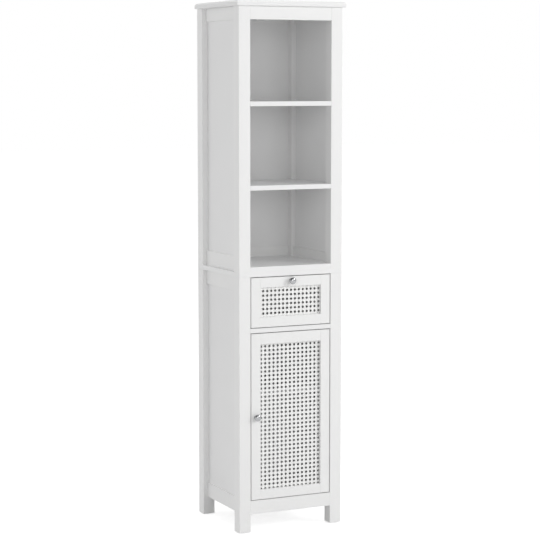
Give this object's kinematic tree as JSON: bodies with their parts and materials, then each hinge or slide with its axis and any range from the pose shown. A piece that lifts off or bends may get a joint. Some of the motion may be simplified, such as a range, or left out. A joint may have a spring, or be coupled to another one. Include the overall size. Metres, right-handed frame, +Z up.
{
  "type": "bathroom storage tower",
  "caption": "Tall narrow bathroom cabinet on square posts: open shelves above, a drawer and a hinged door with woven cane panels below, moulded flat top.",
  "frame": {"origin": "on the floor, in the middle of the overall footprint (the box round the whole tower with its knobs)", "axes": "+Z up, +X to the viewer's right when facing the front, front towards -Y, back towards +Y"},
  "size_m": [0.384, 0.35, 1.7],
  "materials": {
    "white_painted_wood": "satin white lacquer",
    "white_thin_board": "satin white lacquer on thin board",
    "white_drawer_board": "white lacquer",
    "white_cane": "white painted woven cane",
    "polished_knobs": "polished chrome plate",
    "coated_runner_steel": "white epoxy coat",
    "zinc_plated_steel": "bright zinc plate",
    "white_nylon": "moulded nylon",
    "white_glides": "moulded, matt"
  },
  "bodies": {
    "cabinet": {"top_board": "white_painted_wood", "upper_front_rail": "white_painted_wood", "upper_post_front_left": "white_painted_wood", "upper_post_front_right": "white_painted_wood", "upper_post_back_left": "white_painted_wood", "upper_post_back_right": "white_painted_wood", "upper_side_top_rails": "white_painted_wood", "upper_side_bottom_rails": "white_painted_wood", "upper_back_rails": "white_painted_wood", "upper_side_panels": "white_thin_board", "upper_back_panel": "white_thin_board", "shelf_high": "white_painted_wood", "shelf_low": "white_painted_wood", "bay_floor": "white_painted_wood", "middle_board": "white_painted_wood", "lower_post_front_left": "white_painted_wood", "lower_post_front_right": "white_painted_wood", "lower_post_back_left": "white_painted_wood", "lower_post_back_right": "white_painted_wood", "lower_side_top_rails": "white_painted_wood", "lower_side_bottom_rails": "white_painted_wood", "lower_back_rails": "white_painted_wood", "lower_side_panels": "white_thin_board", "lower_back_panel": "white_thin_board", "divider_board": "white_painted_wood", "bottom_board": "white_painted_wood", "front_bottom_rail": "white_painted_wood", "inner_shelf": "white_painted_wood", "shelf_pins": "zinc_plated_steel", "foot_glides": "white_glides", "wall_plate": "zinc_plated_steel", "runner_left": "coated_runner_steel", "runner_right": "coated_runner_steel", "hinge_arms": "zinc_plated_steel", "magnetic_catch": "white_nylon", "hardware_screws": "zinc_plated_steel"},
    "drawer": {"drawer_stile_left": "white_painted_wood", "drawer_stile_right": "white_painted_wood", "drawer_top_rail": "white_painted_wood", "drawer_bottom_rail": "white_painted_wood", "drawer_cane": "white_cane", "drawer_side_left": "white_drawer_board", "drawer_side_right": "white_drawer_board", "drawer_back": "white_drawer_board", "drawer_bottom": "white_thin_board", "drawer_knob": "polished_knobs", "drawer_knob_screw": "zinc_plated_steel", "drawer_tracks": "coated_runner_steel"},
    "door": {"door_stile_left": "white_painted_wood", "door_stile_right": "white_painted_wood", "door_top_rail": "white_painted_wood", "door_bottom_rail": "white_painted_wood", "door_cane": "white_cane", "door_knob": "polished_knobs", "door_knob_screw": "zinc_plated_steel", "hinge_cups": "zinc_plated_steel", "hinge_pins": "zinc_plated_steel", "strike_plate": "zinc_plated_steel"},
    "front_rollers": {"runner_rollers": "white_nylon"},
    "rear_rollers": {"drawer_rollers": "white_nylon"}
  },
  "joints": [
    {"name": "drawer_slide", "type": "slide", "parent": "cabinet", "child": "drawer", "axis": [0, -1, 0], "range_m": [0, 0.2]},
    {"name": "door_hinge", "type": "hinge", "parent": "cabinet", "child": "door", "pos_m": [0.1274, -0.147, 0.37675], "axis": [0, 0, 1], "range_deg": [0, 90]},
    {"name": "front_roller_spin", "type": "hinge", "parent": "cabinet", "child": "front_rollers", "pos_m": [0, -0.129, 0.6862], "axis": [1, 0, 0], "range_deg": [0, 1600]},
    {"name": "rear_roller_spin", "type": "hinge", "parent": "drawer", "child": "rear_rollers", "pos_m": [0, 0.119, 0.6857], "axis": [1, 0, 0], "range_deg": [0, 1700]}
  ],
  "couplings": [
    {"joint": "front_roller_spin", "follows": "drawer_slide", "rad_per_m": 133.33},
    {"joint": "rear_roller_spin", "follows": "drawer_slide", "rad_per_m": 142.86}
  ]
}
